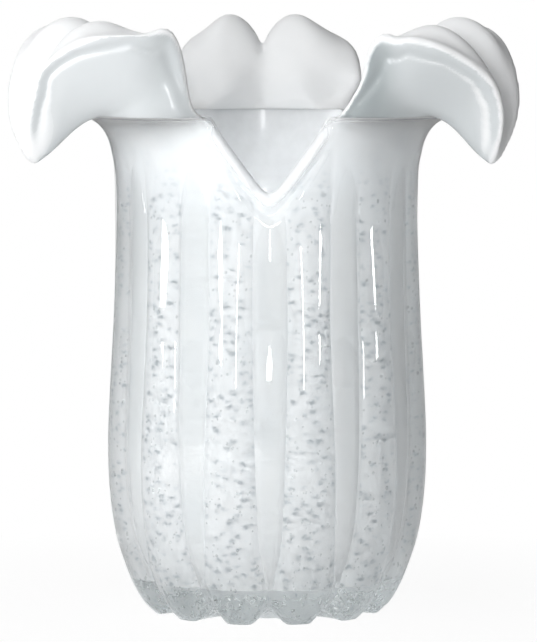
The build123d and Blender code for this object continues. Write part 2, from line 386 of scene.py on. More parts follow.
@dataclass(frozen=True)
class FrostedGlass:
    """Acid frosted white glass: matt and even, with a little light going through it."""

    name: str = "acid_frosted_glass"
    face_colour: str = "F4F5F6"
    cloud_colour: str = "ECEEEF"
    # Painted shade: the hull, which faces down and out, is given a darker colour than the inner face.
    shaded_hull_colour: str = "D2D6D8"
    # Darker grey beside the notches: thinly frosted glass, with painted shade on the right petal and over a shaded
    # hull.
    thin_frost_and_shade_colour: str = "9AA1A3"
    inner_roughness: float = 0.50
    hull_roughness: float = 0.16
    grain_size: float = 0.6
    hull_attribute: str = "hull"
    thin_frost_and_shade_attribute: str = "thin_frost_and_shade"

    def material(self) -> bpy.types.Material:
        """Builds the satin inner face and the fire polished hull, with a fine etched grain; the hull's darker colour is
        painted shade, and the darker grey beside the notches is partly thinly frosted glass and partly painted shade.
        """
        material, tree = new_material(self.name)
        cloud = object_noise(tree, 14.0, 3.0)
        frosted = add_node(
            tree, "ShaderNodeMix",
            {6: linear(self.face_colour), 7: linear(self.cloud_colour)}, {0: cloud.outputs[0]},
            data_type="RGBA",
        )
        # Painted shade: the hull mask mixes in the darker hull colour, and the notch mask mixes in the darker grey.
        thin_frost_and_shade = add_node(tree, "ShaderNodeAttribute", attribute_name=self.thin_frost_and_shade_attribute)
        hull = add_node(tree, "ShaderNodeAttribute", attribute_name=self.hull_attribute)
        sides = add_node(tree, "ShaderNodeMix", {7: linear(self.shaded_hull_colour)},
                         {0: hull.outputs["Fac"], 6: frosted.outputs[2]}, data_type="RGBA")
        colour = add_node(tree, "ShaderNodeMix", {7: linear(self.thin_frost_and_shade_colour)},
                          {0: thin_frost_and_shade.outputs["Fac"], 6: sides.outputs[2]}, data_type="RGBA")
        roughness = add_node(tree, "ShaderNodeMapRange",
                             {"To Min": self.inner_roughness, "To Max": self.hull_roughness},
                             {"Value": hull.outputs["Fac"]})
        grain = object_noise(tree, self.grain_size, 2.0)
        etched = add_node(tree, "ShaderNodeMath", {0: 1.0}, {1: hull.outputs["Fac"]}, operation="SUBTRACT")
        relief = add_node(tree, "ShaderNodeMath", {}, {0: grain.outputs[0], 1: etched.outputs[0]},
                          operation="MULTIPLY")
        bump = add_node(tree, "ShaderNodeBump", {"Strength": 0.12, "Distance": 0.2 * MILLIMETRE},
                        {"Height": relief.outputs[0]})
        frost = add_node(
            tree, "ShaderNodeBsdfPrincipled",
            {
                "IOR": 1.5, "Subsurface Weight": 0.35, "Subsurface Radius": (1.0, 1.0, 1.0),
                "Subsurface Scale": 6.0 * MILLIMETRE,
            },
            {"Base Color": colour.outputs[2], "Normal": bump.outputs[0], "Roughness": roughness.outputs[0]},
        )
        add_node(tree, "ShaderNodeOutputMaterial", {}, {"Surface": frost.outputs[0]})
        return material


# ---------------------------------------------------------------------------
# The form that the pieces share


@dataclass(frozen=True)
class VaseForm:
    """The outer form of the vase, which every glass layer follows."""

    seat_height: float = 199.0
    body_radius: float = 65.0
    level_line: SmoothLine = SmoothLine((
        (0.0, 0.705), (0.022, 0.775), (0.06, 0.842), (0.10, 0.892), (0.16, 0.950), (0.25, 0.990),
        (0.352, 1.0), (0.46, 0.987), (0.60, 0.963), (0.80, 0.940), (0.92, 0.945), (1.0, 0.954),
    ))
    lobe_count: int = 12
    lobe_depth: float = 3.1
    depth_line: SmoothLine = SmoothLine((
        (0.0, 1.0), (0.46, 1.0), (0.60, 0.9), (0.80, 0.6), (0.92, 0.25), (1.0, 0.0),
    ))
    seam_groove: float = 0.45
    seam_half_angle: float = 1.3
    rib_width: float = 14.4
    rib_width_line: SmoothLine = SmoothLine((
        (0.0, 0.10), (0.085, 0.22), (0.16, 0.62), (0.27, 0.80), (0.45, 0.95), (0.62, 1.0), (1.0, 0.80),
    ))
    notch_half_width: float = 24.7
    notch_depth: float = 29.0
    notch_round: float = 5.0
    petal_root_radius: float = 76.0
    corbel_height: float = 26.0
    corbel_line: SmoothLine = SmoothLine(
        ((0.0, 1.0), (0.16, 0.46), (0.38, 0.15), (0.66, -0.02), (1.0, -0.26)))
    root_margin: float = 0.4
    melt_reach: float = 1.6
    foot_groove: float = 5.0
    foot_groove_reach: float = 16.0
    lip_groove: float = 1.3
    lip_place: float = 8.5
    lip_half: float = 4.0

    def envelope(self, height: float) -> float:
        """Radius over the tops of the lobes at a height."""
        return self.body_radius * self.level_line(height / self.seat_height)

    def rib_half_angle(self, height: float) -> float:
        """Half the angle that a rib takes at a height, in degrees."""
        share = self.rib_width_line(height / self.seat_height)
        return degrees(self.rib_width * share / 2 / self.envelope(height))

    def lobe_drop(self, across: float, height: float) -> float:
        """How far the surface lies under the lobes' tops.

        Args:
            across: Angle from the nearest rib's axis, in degrees, 0 or more.
            height: Height over the foot.

        Returns:
            The drop: a rounded lobe beside a nearly flat band.
        """
        depth = self.lobe_depth * self.depth_line(height / self.seat_height)
        half = self.rib_half_angle(height)
        groove = self.seam_groove * max(1 - abs(across - half) / self.seam_half_angle, 0.0)
        groove *= self.depth_line(height / self.seat_height)
        if across <= half:
            return depth + groove
        share = (across - half) / (self.half_pitch - half)
        return depth * (1 - share) ** 2 + groove

    @property
    def half_pitch(self) -> float:
        """Half the angle of one lobe and its rib, in degrees."""
        return 180.0 / self.lobe_count

    def rim_height(self, azimuth: float) -> float:
        """Height of the glass over an azimuth in degrees: the seat, or the edge of a notch."""
        across = abs((azimuth + 90.0 + 60.0) % 120.0 - 60.0)
        offset = self.neck_radius * sin(radians(min(across, 60.0)))
        if offset >= self.notch_half_width:
            return self.seat_height
        rounding = self.notch_round
        reach = hypot(self.notch_half_width, rounding) - rounding
        rise = self.notch_depth * (hypot(offset, rounding) - rounding) / reach
        return self.seat_height - self.notch_depth + rise

    def notch_groove(self, azimuth: float, height: float) -> float:
        """Depth of the groove that parts a notch's rolled lip from the wall."""
        below = self.rim_height(azimuth) - height
        share = 1 - min(abs(below - self.lip_place) / self.lip_half, 1.0)
        return self.lip_groove * ease(share, 0.0, 1.0) * (1 - self.seat_share(azimuth))

    def seat_share(self, azimuth: float) -> float:
        """1 where a petal sits on the glass, falling to 0 in a notch."""
        across = abs((azimuth + 90.0 + 60.0) % 120.0 - 60.0)
        return ease(self.neck_radius * sin(radians(across)), self.notch_half_width - 5.0, self.notch_half_width)

    @property
    def neck_radius(self) -> float:
        """Radius of the neck at the seat."""
        return self.body_radius * self.level_line(1.0)

    def corbel_radius(self, azimuth: float, height: float) -> float:
        """Radius of the swelling under the nearest petal, or 0 where there is none."""
        down = (self.seat_height - height) / self.corbel_height
        if down > 1.0:
            return 0.0
        across = abs((azimuth - 90.0 + 60.0) % 120.0 - 60.0)
        edge_radius = self.neck_radius + self.root_margin - 3.2 * down
        edge_angle = 60.0 - degrees(asin((self.notch_half_width + self.root_margin) / edge_radius))
        share = across / edge_angle
        if share >= 1.0:
            return 0.0
        bulge = (self.petal_root_radius - self.neck_radius) * self.corbel_line(down)
        return edge_radius + (self.neck_radius + bulge - edge_radius) * (1 - share**3.5)

    def outer_radius(self, azimuth: float, height: float) -> float:
        """Radius of the outer glass at an azimuth in degrees and a height."""
        across = abs((azimuth + 90.0 + self.half_pitch) % (2 * self.half_pitch) - self.half_pitch)
        wall = self.envelope(height) - self.lobe_drop(across, height)
        swelling = self.corbel_radius(azimuth, height)
        melt = max(1 - abs(wall - swelling) / self.melt_reach, 0.0)
        return max(wall, swelling) + self.melt_reach / 4 * melt**2 - self.notch_groove(azimuth, height)

    def follow_ribs(self, azimuth: float, height: float, reference: float) -> float:
        """Draws a mesh column in or out, so that columns run along the edges of the ribs.

        Args:
            azimuth: The column's azimuth, in degrees.
            height: Height over the foot.
            reference: Angle from a rib's axis of the column that is its edge, in degrees.

        Returns:
            The azimuth at which the column passes that height.
        """
        pitch = 2 * self.half_pitch
        offset = (azimuth + 90.0 + self.half_pitch) % pitch - self.half_pitch
        half = self.rib_half_angle(height)
        size = abs(offset)
        if size <= reference:
            moved = size * half / reference
        else:
            moved = half + (size - reference) * (self.half_pitch - half) / (self.half_pitch - reference)
        return azimuth - offset + (moved if offset >= 0 else -moved)


def finish_piece(
    name: str,
    mesh: bmesh.types.BMesh,
    material: bpy.types.Material,
    nodes: Iterable[str],
    sharp: float = 40.0,
) -> bpy.types.Object:
    """Turns a shaped bmesh in millimetres into a piece of the vase.

    Args:
        name: The piece's name.
        mesh: Its mesh, which is freed here.
        material: Its finish.
        nodes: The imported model's nodes that it stands for.
        sharp: Angle from which an edge stays sharp, in degrees.

    Returns:
        The finished object, riding on the body of the vase.
    """
    bmesh.ops.scale(mesh, vec=(MILLIMETRE,) * 3, verts=mesh.verts)
    bmesh.ops.recalc_face_normals(mesh, faces=mesh.faces)
    for face in mesh.faces:
        face.smooth = True
    for edge in mesh.edges:
        edge.smooth = len(edge.link_faces) != 2 or edge.calc_face_angle(0.0) < radians(sharp)
    data = bpy.data.meshes.new(name)
    mesh.to_mesh(data)
    mesh.free()
    data.materials.append(material)
    piece = bpy.data.objects.new(name, data)
    bpy.context.scene.collection.objects.link(piece)
    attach(piece, "root")
    nodes = list(nodes)
    if nodes:
        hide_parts(*nodes)
    log.info("%s: %d vertices, %d faces", name, len(data.vertices), len(data.polygons))
    return piece


def spun_wall(profile: Iterable[tuple[float, float]], columns: int) -> bmesh.types.BMesh:
    """Spins a line of radius and height once round the axis of the vase.

    Args:
        profile: Points of the line, from the axis round the wall and back to the axis.
        columns: Number of steps in the turn.

    Returns:
        The closed mesh.
    """
    mesh = bmesh.new()
    points = [mesh.verts.new((0.0, -radius, height)) for radius, height in profile]
    lines = [mesh.edges.new(pair) for pair in zip(points, points[1:])]
    bmesh.ops.spin(mesh, geom=points + lines, cent=(0, 0, 0), axis=(0, 0, 1), angle=2 * pi,
                   steps=columns, use_merge=True, use_normal_flip=False, use_duplicate=False)
    bmesh.ops.remove_doubles(mesh, verts=mesh.verts, dist=1e-4)
    return mesh


def reshape(mesh: bmesh.types.BMesh, move: Callable[[float, float, float], tuple[float, float, float]]) -> None:
    """Moves every point of a spun mesh by its radius, azimuth and height.

    Args:
        mesh: The spun mesh.
        move: Gives the new radius, azimuth in degrees and height from the old ones.
    """
    for vert in mesh.verts:
        radius = hypot(vert.co.x, vert.co.y)
        azimuth = degrees(atan2(vert.co.y, vert.co.x))
        radius, azimuth, height = move(radius, azimuth, vert.co.z)
        angle = radians(azimuth)
        vert.co = Vector((radius * cos(angle), radius * sin(angle), height))


@dataclass
class GlassWall:
    """One layer of the body: a wall of glass between two depths under the lobes."""

    form: VaseForm
    name: str
    outer_depth: float
    inner_depth: float
    neck_outer_depth: float
    neck_inner_radius: float
    bottom: float
    floor: float
    lip: float
    follows_lobes: bool
    rim_margin: float = 0.0
    corner: float = 12.0
    square_share: float = 0.375
    columns: int = 288
    lip_steps: int = 16
    rib_reference: float = 6.25
    warp_start: float = 110.0
    levels: int = 110

    def profile(self) -> list[tuple[float, float]]:
        """The schematic line of the wall: depth under the lobes is read from its radius."""
        top = self.form.seat_height - self.rim_margin
        base = 100.0
        outer = base - self.outer_depth
        inner = base - self.inner_depth
        line: list[tuple[float, float]] = []
        line += [(0.0, self.bottom), (outer * 0.2, self.bottom), (outer * 0.4, self.bottom),
                 (outer * 0.6, self.bottom), (outer * 0.8, self.bottom)]
        line += [(outer * 0.93, self.bottom)]
        wall = [self.bottom + (top - self.lip - self.bottom) * i / self.levels for i in range(self.levels + 1)]
        line += [(outer, height) for height in wall]
        thick = (outer - inner) / 2
        for step in range(1, self.lip_steps):
            angle = pi * step / self.lip_steps
            line.append((outer - thick + thick * cos(angle), top - self.lip + self.lip * sin(angle)))
        inner_levels = [top - self.lip - (top - self.lip - self.floor - self.corner) * i / 40 for i in range(41)]
        line += [(inner, height) for height in inner_levels]
        for step in range(1, 9):
            angle = pi / 2 * step / 8
            line.append((inner - self.corner * (1 - cos(angle)), self.floor + self.corner * (1 - sin(angle))))
        line += [(inner * 0.6, self.floor), (inner * 0.4, self.floor), (inner * 0.2, self.floor), (0.0, self.floor)]
        return line

    def placed(self, radius: float, azimuth: float, height: float) -> tuple[float, float, float]:
        """Moves a point of the schematic wall to its place on the vase."""
        form = self.form
        base = 100.0
        top = form.seat_height - self.rim_margin
        rim = form.rim_height(azimuth) - self.rim_margin
        seat = form.seat_share(azimuth)
        thick = (self.inner_depth - self.outer_depth) / 2
        if height > top - self.lip + 1e-6:
            outer = base - self.outer_depth
            turn = acos(min(max((radius - outer) / thick + 1, -1.0), 1.0)) / pi
            rise = min(turn, 1 - turn) / self.square_share
            square = min(max((turn - self.square_share) / (1 - 2 * self.square_share), 0.0), 1.0)
            height += (top - self.lip * max(1 - rise, 0.0) - height) * seat
            radius += (outer - 2 * thick * square - radius) * seat
        if height > self.warp_start:
            height = self.warp_start + (height - self.warp_start) * (rim - self.warp_start) / (
                top - self.warp_start)
        if self.follows_lobes:
            azimuth = form.follow_ribs(azimuth, height, self.rib_reference)
            face = form.outer_radius(azimuth, height) if radius > base - self.outer_depth - 0.01 else (
                form.envelope(height))
        else:
            face = form.envelope(height)
        depth = base - radius
        wall_share = (depth - self.outer_depth) / (self.inner_depth - self.outer_depth)
        if wall_share > 1.0001 or height <= self.bottom + 1e-6 and wall_share > 0.0:
            limit = self.inner_depth if wall_share > 1.0 and height > self.bottom + 1e-6 else self.outer_depth
            edge = face - limit
            return radius / (base - limit) * edge, azimuth, height
        neck = ease(height, form.seat_height * 0.80, form.seat_height)
        inner_radius = form.envelope(height) - self.inner_depth
        inner_radius += (self.neck_inner_radius - inner_radius) * neck
        outer_depth = self.outer_depth + (self.neck_outer_depth - self.outer_depth) * neck
        outer_radius = face - outer_depth
        if self.follows_lobes:
            outer_radius = form.outer_radius(azimuth, height) - outer_depth
        return outer_radius + (inner_radius - outer_radius) * max(wall_share, 0.0), azimuth, height

    def shape(self) -> bmesh.types.BMesh:
        """Spins the wall and moves it to its place, with the notches, lobes and feet."""
        mesh = spun_wall(self.profile(), self.columns)
        reshape(mesh, self.placed)
        return mesh


@dataclass
class OuterCasing(GlassWall):
    """The clear outer gather, from the feet to the seats of the petals and down into the cavity."""

    def shape(self) -> bmesh.types.BMesh:
        """Adds the grooves that part the feet to the wall's own shape."""
        mesh = super().shape()
        form = self.form
        reach = form.foot_groove_reach
        for vert in mesh.verts:
            radius = hypot(vert.co.x, vert.co.y)
            if vert.co.z > reach or radius < 30.0 or radius < form.envelope(vert.co.z) - 14.0 and vert.co.z > 1.0:
                continue
            azimuth = degrees(atan2(vert.co.y, vert.co.x))
            across = abs((azimuth + 90.0 + form.half_pitch) % (2 * form.half_pitch) - form.half_pitch)
            offset = radius * sin(radians(across)) / form.foot_groove
            if offset < 1.6:
                rise = form.foot_groove * (0.5 + 0.5 * cos(pi * offset / 1.6)) * (1 - vert.co.z / reach) ** 1.5
                vert.co.z += rise * ease(radius, 30.0, 40.0)
        return mesh


@dataclass
class ClearRib:
    """One smooth rib of clear glass, laid in the valley between two lobes."""

    form: VaseForm
    number: int
    start_share: float = 0.085
    end_share: float = 0.90
    notch_end_share: float = 0.805
    lift: float = 1.0
    gap: float = 0.05
    rows: int = 72
    columns: int = 12

    def shape(self) -> bmesh.types.BMesh:
        """Bends a flat grid into the valley and gives it its thickness."""
        form = self.form
        axis = -90.0 + self.number * 2 * form.half_pitch
        low = form.seat_height * self.start_share
        high = form.seat_height * (self.notch_end_share if self.number % 4 == 0 else self.end_share)
        mesh = bmesh.new()
        bmesh.ops.create_grid(mesh, x_segments=self.columns, y_segments=self.rows, size=1.0)
        bmesh.ops.recalc_face_normals(mesh, faces=mesh.faces)
        back = bmesh.ops.extrude_face_region(mesh, geom=mesh.faces[:])
        raised = {item for item in back["geom"] if isinstance(item, bmesh.types.BMVert)}
        for vert in mesh.verts:
            across, up = vert.co.x, (vert.co.y + 1) / 2
            height = low + (high - low) * up
            taper = min(1.0, sqrt(max(1 - up, 0.0) * 9), sqrt(max(up, 0.0) * 12) + 0.35)
            half = form.rib_half_angle(height) * 0.985 * max(taper, 0.12)
            azimuth = axis + across * half
            floor = form.outer_radius(axis, height) + self.gap
            crown = self.lift * sqrt(max(1 - across**2 * 0.96, 0.0)) * max(taper, 0.2)
            radius = floor + (crown if vert in raised else 0.0)
            vert.co = Vector((radius * cos(radians(azimuth)), radius * sin(radians(azimuth)), height))
        return mesh


@dataclass
class TrappedBubbles:
    """The larger bubbles that can be told apart: small hollows in the lobes."""

    form: VaseForm
    count: int = 1500
    smallest: float = 0.24
    largest: float = 0.55
    top: float = 168.0
    bottom: float = 14.0
    seed: int = 12
    foot_count: int = 200
    foot_top: float = 17.0

    def shape(self) -> bmesh.types.BMesh:
        """Scatters small round hollows through the lobes, denser low down."""
        rng = random.Random(self.seed)
        form = self.form
        mesh = bmesh.new()
        placed = 0
        while placed < self.count:
            height = self.bottom + (self.top - self.bottom) * rng.random() ** 1.25
            azimuth = rng.uniform(0.0, 360.0)
            across = abs((azimuth + 90.0 + form.half_pitch) % (2 * form.half_pitch) - form.half_pitch)
            half = form.rib_half_angle(height)
            if across < half + 0.8:
                continue
            size = self.smallest + (self.largest - self.smallest) * rng.random() ** 2
            radius = form.outer_radius(azimuth, height) - size - rng.uniform(0.5, 2.8)
            angle = radians(azimuth)
            place = Matrix.Translation((radius * cos(angle), radius * sin(angle), height))
            bmesh.ops.create_icosphere(mesh, subdivisions=1, radius=size,
                                       matrix=place @ Matrix.Diagonal((1, 1, rng.uniform(1.0, 1.5), 1)))
            placed += 1
        for _ in range(self.foot_count):
            height = rng.uniform(7.0, self.foot_top)
            angle = rng.uniform(0.0, 2 * pi)
            radius = (form.envelope(height) - 5.0) * rng.uniform(0.55, 1.0)
            place = Matrix.Translation((radius * cos(angle), radius * sin(angle), height - 4.0))
            bmesh.ops.create_icosphere(mesh, subdivisions=2, radius=rng.uniform(0.3, 0.9),
                                       matrix=place @ Matrix.Diagonal((1, 1, rng.uniform(0.6, 1.6), 1)))
        return mesh


@dataclass
class Petal:
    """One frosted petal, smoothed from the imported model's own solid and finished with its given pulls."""

    node: str
    azimuth: float
    swing: float = 0.0
    front_side: int = 0
    horn: float = 0.0
    end_fall: float = 0.0
    rim_fall: float = 0.0
    rim_spread: float = 0.0
    crest_fall: float = 0.0
    groove_place: float = 4.4
    edge_shift: float = 0.0
    flare: float = 0.0
    # Share of the darker grey beside the front notch: thinly frosted glass, set higher on the right petal as painted
    # shade.
    thin_frost_and_shade: float = 0.0
    bowl_top: float = 222.0
    bowl_smoothing: int = 0
    # Share of painted shade laid over the whole hull, for a petal on the side away from the key lamp.
    shade: float = 0.0
    root_radius: float = 76.0
    tip_radius: float = 101.5
    seat_height: float = 199.0
    tip_height: float = 180.0
    half_width: float = 36.0
    rise: float = 40.3
    curl: float = 140.0
    edge_shares: Shares = (
        (0.060, 0.005, 0.257, 1.000, 0.600), (0.118, 0.020, 0.429, 0.985, 0.780),
        (0.196, 0.063, 0.614, 0.880, 0.845), (0.333, 0.174, 0.764, 0.660, 0.807),
        (0.510, 0.395, 0.857, 0.450, 0.715), (0.706, 0.668, 0.929, 0.285, 0.555),
        (0.882, 0.868, 0.985, 0.155, 0.300), (1.000, 1.000, 1.000, 0.065, 0.110),
    )
    voxel: float = 1.0
    smoothing: int = 8
    root_overlap: float = 6.0
    groove_depth: float = 1.0
    groove_half: float = 2.6

    def frame_of(self, place: Vector) -> tuple[float, float]:
        """How far a point lies out along the petal, and how far aside."""
        angle = radians(self.azimuth)
        return (place.x * cos(angle) + place.y * sin(angle), place.y * cos(angle) - place.x * sin(angle))

    def fan(self, place: Vector) -> Vector:
        """The way from the keel to the crest at a point of the petal."""
        angle = radians(self.azimuth)
        reach, _ = self.frame_of(place)
        out, up = reach - (self.root_radius + 6.0), place.z - (self.seat_height - 11.0)
        return Vector((out * cos(angle), out * sin(angle), up)).normalized()

    def edge_points(self) -> list[Vector]:
        """Points along both rims of the petal, close together."""
        angle = radians(self.azimuth)
        outward, across = Vector((cos(angle), sin(angle), 0)), Vector((-sin(angle), cos(angle), 0))
        points: list[Vector] = []
        for side in (-1, 1):
            rim: list[Vector] = []
            for out, down, curl, width, edge in self.edge_shares:
                lean = radians(self.curl * curl)
                keel = outward * (self.root_radius + (self.tip_radius - self.root_radius) * out)
                keel -= across * self.swing * sqrt(out)
                keel.z = self.seat_height - (self.seat_height - self.tip_height) * down
                upward = outward * -cos(lean) + Vector((0, 0, sin(lean)))
                rim.append(keel + across * side * self.half_width * width + upward * self.rise * edge)
            corner = outward * 50.4 + across * side * 36.8 + Vector((0, 0, self.seat_height))
            rim.insert(0, corner)
            for low, high in zip(rim, rim[1:]):
                points += [low.lerp(high, step / 8) for step in range(8)]
        return points

    def worked(self, place: Vector) -> Vector:
        """Moves a point as the hot glass was pulled: the edge beside the front notch, or both ends."""
        reach, across = self.frame_of(place)
        rise = self.horn * ease(across * self.front_side, 22.0, 33.0) * exp(-((reach - 61.0) / 7.0) ** 2)
        rise *= ease(place.z, 200.0, 222.0)
        rise -= self.end_fall * ease(abs(across), 16.0, 36.0) * ease(place.z, 208.0, 228.0)
        near = ease(across * self.front_side, 4.0, 20.0)
        rise -= self.rim_fall * near * ease(place.z, 206.0, 234.0) * ease(reach, 60.0, 74.0)
        rise -= self.crest_fall * near * ease(place.z, 229.0, 239.0) * ease(reach, 60.0, 74.0)
        spread = self.rim_spread * near * ease(reach, 78.0, 94.0) * (1 - ease(place.z, 210.0, 232.0))
        outward = -1.0 if cos(radians(self.azimuth)) < 0 else 1.0
        aside = self.edge_shift * ease(across * self.front_side, 12.0, 34.0) * ease(place.z, 200.0, 216.0)
        aside *= 1 - ease(reach, 64.0, 84.0)
        aside += self.flare * ease(place.x, 12.0, 36.0) * ease(place.z, 200.0, 212.0)
        return Vector((place.x + spread * outward + aside, place.y, place.z + rise))

    def smoothed_copy(self) -> bmesh.types.BMesh:
        """Copies the solid, lengthens its root, remeshes it evenly and rounds its lips."""
        source = bpy.data.objects[self.node]
        mesh = bmesh.new()
        mesh.from_mesh(source.data)
        bmesh.ops.transform(mesh, matrix=source.matrix_world, verts=mesh.verts)
        bmesh.ops.scale(mesh, vec=(1 / MILLIMETRE,) * 3, verts=mesh.verts)
        bmesh.ops.remove_doubles(mesh, verts=mesh.verts, dist=0.002)
        for vert in mesh.verts:
            reach, _ = self.frame_of(vert.co)
            if abs(vert.co.z - self.seat_height) < 0.02 and reach < self.root_radius + 0.1:
                vert.co.z -= self.root_overlap
        data = bpy.data.meshes.new(self.node + "_work")
        mesh.to_mesh(data)
        mesh.free()
        work = bpy.data.objects.new(self.node + "_work", data)
        bpy.context.scene.collection.objects.link(work)
        remesh = work.modifiers.new("even", "REMESH")
        remesh.mode = "VOXEL"
        remesh.voxel_size = self.voxel
        rounded = work.modifiers.new("round", "SMOOTH")
        rounded.factor = 0.5
        rounded.iterations = self.smoothing
        result = bmesh.new()
        result.from_object(work, bpy.context.evaluated_depsgraph_get())
        bpy.data.objects.remove(work)
        bpy.data.meshes.remove(data)
        return result

    def shape(self) -> bmesh.types.BMesh:
        """Gives the smoothed petal its grooved rim and the pull of the maker's tool."""
        mesh = self.smoothed_copy()
        mesh.normal_update()
        rims = KDTree(len(self.edge_points()))
        for index, point in enumerate(self.edge_points()):
            rims.insert(point, index)
        rims.balance()
        moves: list[Vector] = []
        for vert in mesh.verts:
            _, _, away = rims.find(vert.co)
            hull = 1 - ease(vert.normal.dot(self.fan(vert.co)), -0.05, 0.35)
            share = 1 - min(abs(away - self.groove_place) / self.groove_half, 1.0)
            depth = self.groove_depth * ease(share, 0.0, 1.0) * hull
            moves.append(vert.co - vert.normal * depth * ease(vert.co.z, self.tip_height, self.tip_height + 12))
        for vert, place in zip(mesh.verts, moves):
            vert.co = place
        for _ in range(2):
            bmesh.ops.smooth_vert(mesh, verts=mesh.verts, factor=0.5, use_axis_x=True, use_axis_y=True, use_axis_z=True)
        bowl = [vert for vert in mesh.verts if 203.0 < vert.co.z < self.bowl_top
                and abs(self.frame_of(vert.co)[1]) < 27.0]
        for _ in range(self.bowl_smoothing):
            bmesh.ops.smooth_vert(mesh, verts=bowl, factor=0.5, use_axis_x=True, use_axis_y=True, use_axis_z=True)
        for vert in mesh.verts:
            vert.co = self.worked(vert.co)
        for _ in range(3):
            bmesh.ops.smooth_vert(mesh, verts=mesh.verts, factor=0.5, use_axis_x=True, use_axis_y=True, use_axis_z=True)
        for vert in mesh.verts:
            reach, _ = self.frame_of(vert.co)
            if reach < self.root_radius + 4.0:
                vert.co.z = max(vert.co.z, self.seat_height)
        return mesh

    def mark(self, piece: bpy.types.Object, finish: FrostedGlass) -> None:
        """Stores where the hull is, and where the glass beside the notches is thinly frosted, with painted shade over
        the hull and patch of the darker petal.
        """
        hull, thin_frost_and_shade = [], []
        for vert in piece.data.vertices:
            place = vert.co / MILLIMETRE
            reach, across = self.frame_of(place)
            outside = 1 - ease(vert.normal.dot(self.fan(place)), -0.1, 0.3)
            hull.append(outside)
            # Painted shade: the shade share darkens the whole hull, and the notch patch is partly thinly frosted glass
            # and partly painted shade.
            thin_frost_and_shade.append(self.shade * outside * 0.5 + (1 - 0.5 * self.shade) * self.thin_frost_and_shade * outside * (1 - ease(reach, 64.0, 80.0)) * ease(abs(across), 6.0, 20.0))
        for name, values in ((finish.hull_attribute, hull), (finish.thin_frost_and_shade_attribute, thin_frost_and_shade)):
            piece.data.attributes.new(name, "FLOAT", "POINT").data.foreach_set("value", values)


# ---------------------------------------------------------------------------
# The studio


